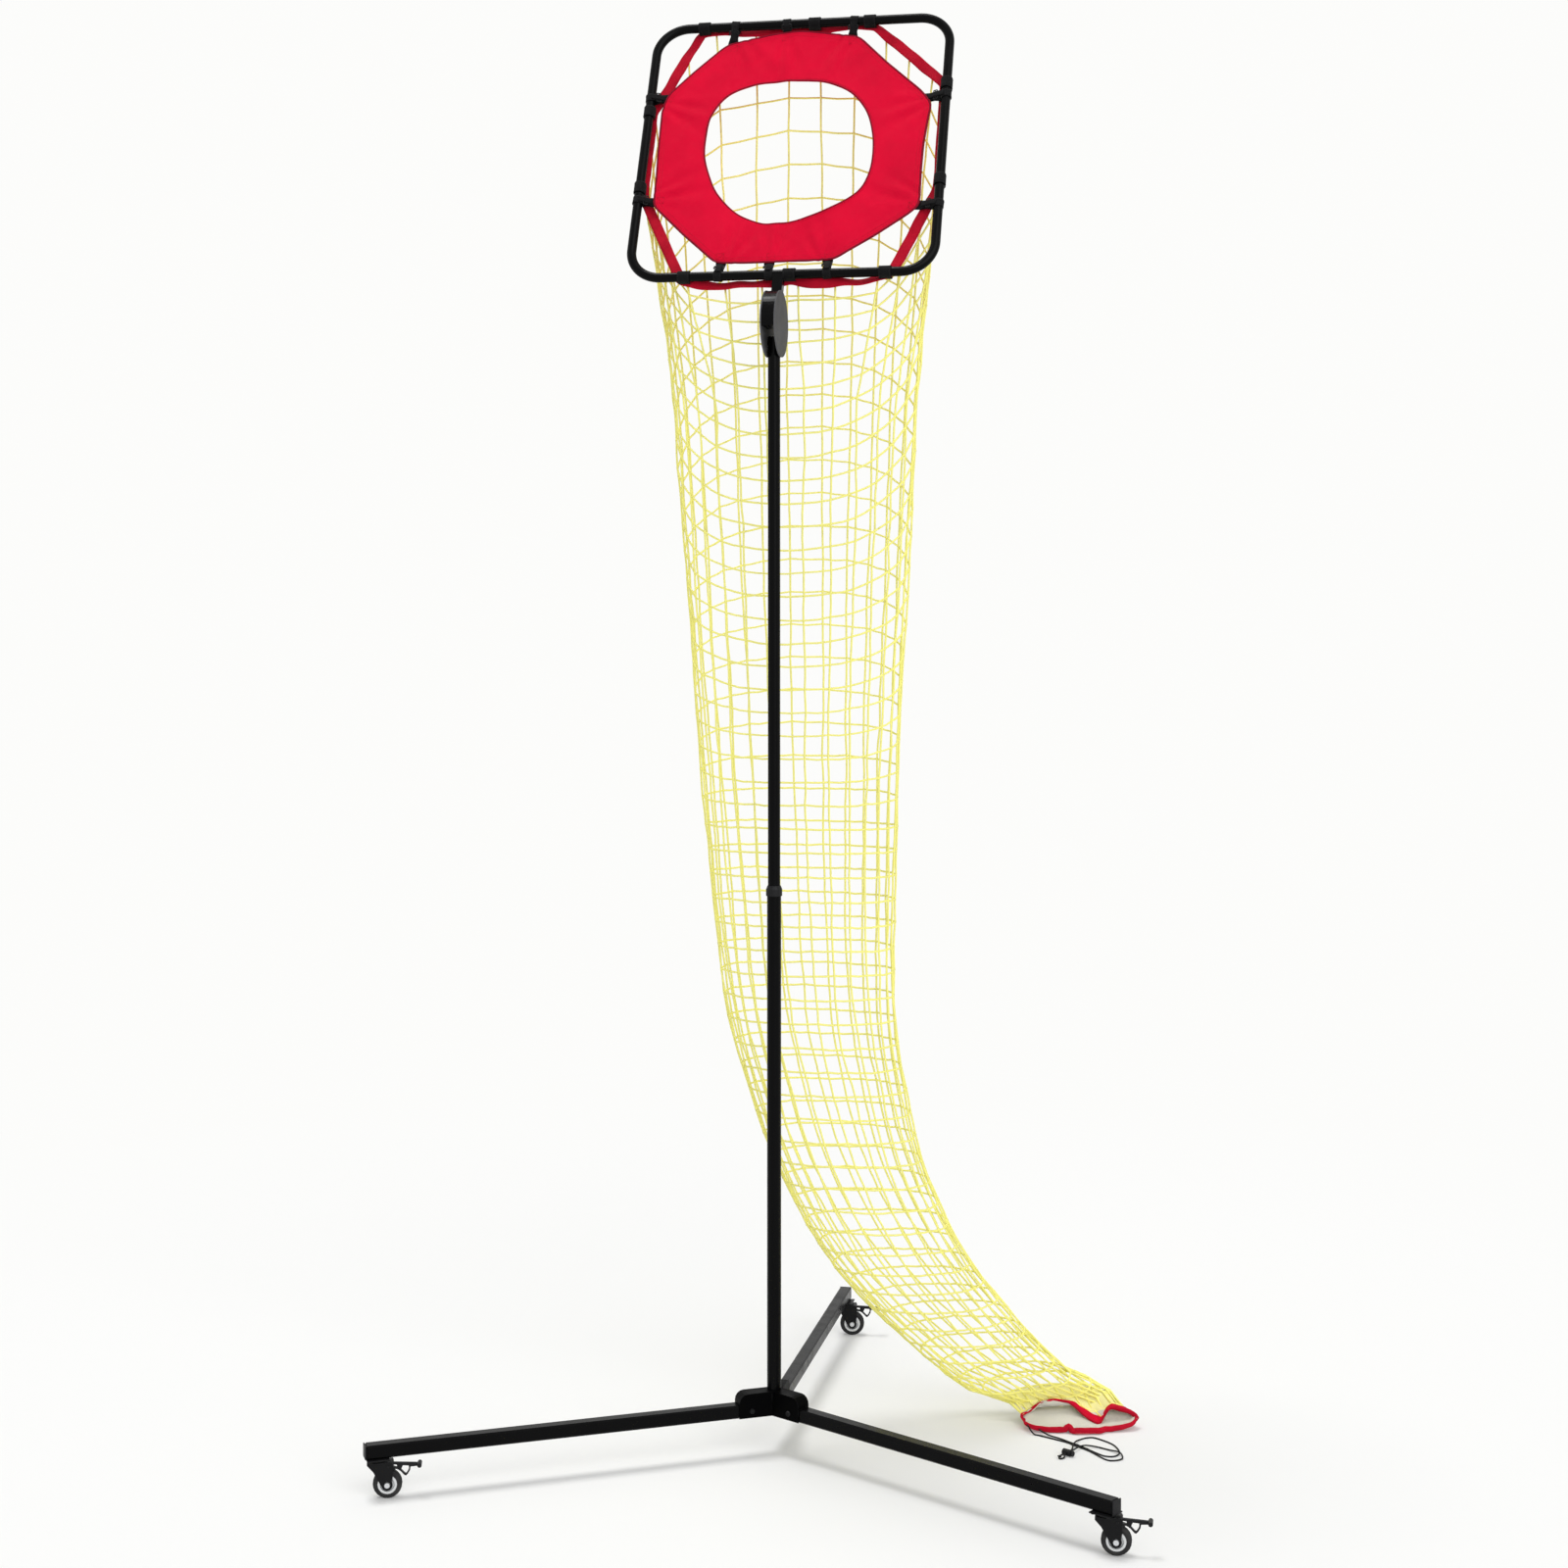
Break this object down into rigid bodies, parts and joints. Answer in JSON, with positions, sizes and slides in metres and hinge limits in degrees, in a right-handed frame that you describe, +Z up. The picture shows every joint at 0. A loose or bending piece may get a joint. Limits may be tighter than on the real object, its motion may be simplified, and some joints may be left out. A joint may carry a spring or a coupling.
{
  "type": "volleyball setter target with ball-return chute",
  "caption": "Volleyball setter target: fabric panel with a ball hole in a tilting frame on a wheeled telescopic stand, with a net ball-return chute.",
  "frame": {"origin": "floor level under the middle of the whole object's box; the pole stands at x -0.030, y -0.225", "axes": "+Z up along the pole, -Y is the front that the panel faces, +X to the right seen from the front"},
  "size_m": [1.692, 1.415, 3.3235],
  "materials": {
    "black_paint": "satin powder coat",
    "grey_paint": "satin powder coat",
    "black_steel": "black oxide",
    "zinc": "zinc plated",
    "rubber": "matte",
    "wheel_core": "silver",
    "black_plastic": "fine texture",
    "red_fabric": "woven nylon",
    "webbing": "woven webbing",
    "net_cord": "knotted twine",
    "draw_cord": "braided cord"
  },
  "bodies": {
    "base": {"hub": "black_paint", "leg_tube_rear": "black_paint", "leg_cap_rear": "black_plastic", "leg_bolt_rear": "black_steel", "caster_plate_rear": "black_steel", "leg_tube_left": "black_paint", "leg_cap_left": "black_plastic", "leg_bolt_left": "black_steel", "caster_plate_left": "black_steel", "leg_tube_right": "black_paint", "leg_cap_right": "black_plastic", "leg_bolt_right": "black_steel", "caster_plate_right": "black_steel", "mast_lower": "black_paint", "mast_collar": "black_plastic", "net_chute": "net_cord", "chute_cuff": "red_fabric", "drawcord": "draw_cord", "cord_lock_barrel": "black_plastic"},
    "mast": {"mast_upper": "black_paint", "tilt_cheek_left": "grey_paint", "tilt_cheek_right": "grey_paint", "cheek_bolt_upper": "black_steel", "cheek_bolt_lower": "black_steel"},
    "head": {"tilt_knuckle": "black_paint", "pivot_bolt": "black_steel", "clamp_bolt": "black_steel", "head_frame": "black_paint", "target_panel": "red_fabric", "net_band": "red_fabric", "panel_strap_01": "webbing", "panel_strap_02": "webbing", "panel_strap_03": "webbing", "panel_strap_04": "webbing", "panel_strap_05": "webbing", "panel_strap_06": "webbing", "panel_strap_07": "webbing", "panel_strap_08": "webbing", "panel_strap_09": "webbing", "panel_strap_10": "webbing"},
    "snap": {"snap_button": "zinc"},
    "lock_button": {"cord_lock_button": "black_plastic"},
    "swivel_rear": {"caster_fork_rear": "black_steel", "caster_axle_rear": "zinc"},
    "wheel_rear": {"caster_tyre_rear": "rubber", "caster_wheel_rear": "wheel_core"},
    "brake_rear": {"brake_pedal_rear": "black_plastic"},
    "swivel_left": {"caster_fork_left": "black_steel", "caster_axle_left": "zinc"},
    "wheel_left": {"caster_tyre_left": "rubber", "caster_wheel_left": "wheel_core"},
    "brake_left": {"brake_pedal_left": "black_plastic"},
    "swivel_right": {"caster_fork_right": "black_steel", "caster_axle_right": "zinc"},
    "wheel_right": {"caster_tyre_right": "rubber", "caster_wheel_right": "wheel_core"},
    "brake_right": {"brake_pedal_right": "black_plastic"}
  },
  "joints": [
    {"name": "mast_slide", "type": "slide", "parent": "base", "child": "mast", "axis": [0, 0, 1], "range_m": [-1, 0], "deforming": ["net_chute", "snap_button"]},
    {"name": "head_tilt", "type": "hinge", "parent": "mast", "child": "head", "pos_m": [-0.03, -0.225, 2.558], "axis": [1, 0, 0], "range_deg": [-55, 25], "deforming": ["net_chute"]},
    {"name": "snap_press", "type": "slide", "parent": "mast", "child": "snap", "axis": [0, -1, 0], "range_m": [0, 0.005], "stiffness_N_per_m": 1500, "springref_m": -0.002},
    {"name": "lock_press", "type": "slide", "parent": "base", "child": "lock_button", "axis": [-0.8704, 0.4924, 0], "range_m": [0, 0.0027], "stiffness_N_per_m": 700, "springref_m": -0.002},
    {"name": "swivel_turn_rear", "type": "hinge", "parent": "base", "child": "swivel_rear", "pos_m": [-0.03, 0.677, 0.08], "axis": [0, 0, 1], "continuous": true},
    {"name": "wheel_spin_rear", "type": "hinge", "parent": "swivel_rear", "child": "wheel_rear", "pos_m": [-0.00827, 0.68044, 0.0315], "axis": [-0.1564, 0.9877, 0], "continuous": true},
    {"name": "brake_press_rear", "type": "hinge", "parent": "swivel_rear", "child": "brake_rear", "pos_m": [-0.00531, 0.68091, 0.0715], "axis": [-0.1564, 0.9877, 0], "range_deg": [0, 10]},
    {"name": "swivel_turn_left", "type": "hinge", "parent": "base", "child": "swivel_left", "pos_m": [-0.81115, -0.676, 0.08], "axis": [0, 0, 1], "continuous": true},
    {"name": "wheel_spin_left", "type": "hinge", "parent": "swivel_left", "child": "wheel_left", "pos_m": [-0.79012, -0.66957, 0.0315], "axis": [-0.2924, 0.9563, 0], "continuous": true},
    {"name": "brake_press_left", "type": "hinge", "parent": "swivel_left", "child": "brake_left", "pos_m": [-0.78725, -0.66869, 0.0715], "axis": [-0.2924, 0.9563, 0], "range_deg": [0, 10]},
    {"name": "swivel_turn_right", "type": "hinge", "parent": "base", "child": "swivel_right", "pos_m": [0.75115, -0.676, 0.08], "axis": [0, 0, 1], "continuous": true},
    {"name": "wheel_spin_right", "type": "hinge", "parent": "swivel_right", "child": "wheel_right", "pos_m": [0.77315, -0.67542, 0.0315], "axis": [-0.0262, 0.9997, 0], "continuous": true},
    {"name": "brake_press_right", "type": "hinge", "parent": "swivel_right", "child": "brake_right", "pos_m": [0.77615, -0.67535, 0.0715], "axis": [-0.0262, 0.9997, 0], "range_deg": [0, 10]}
  ]
}
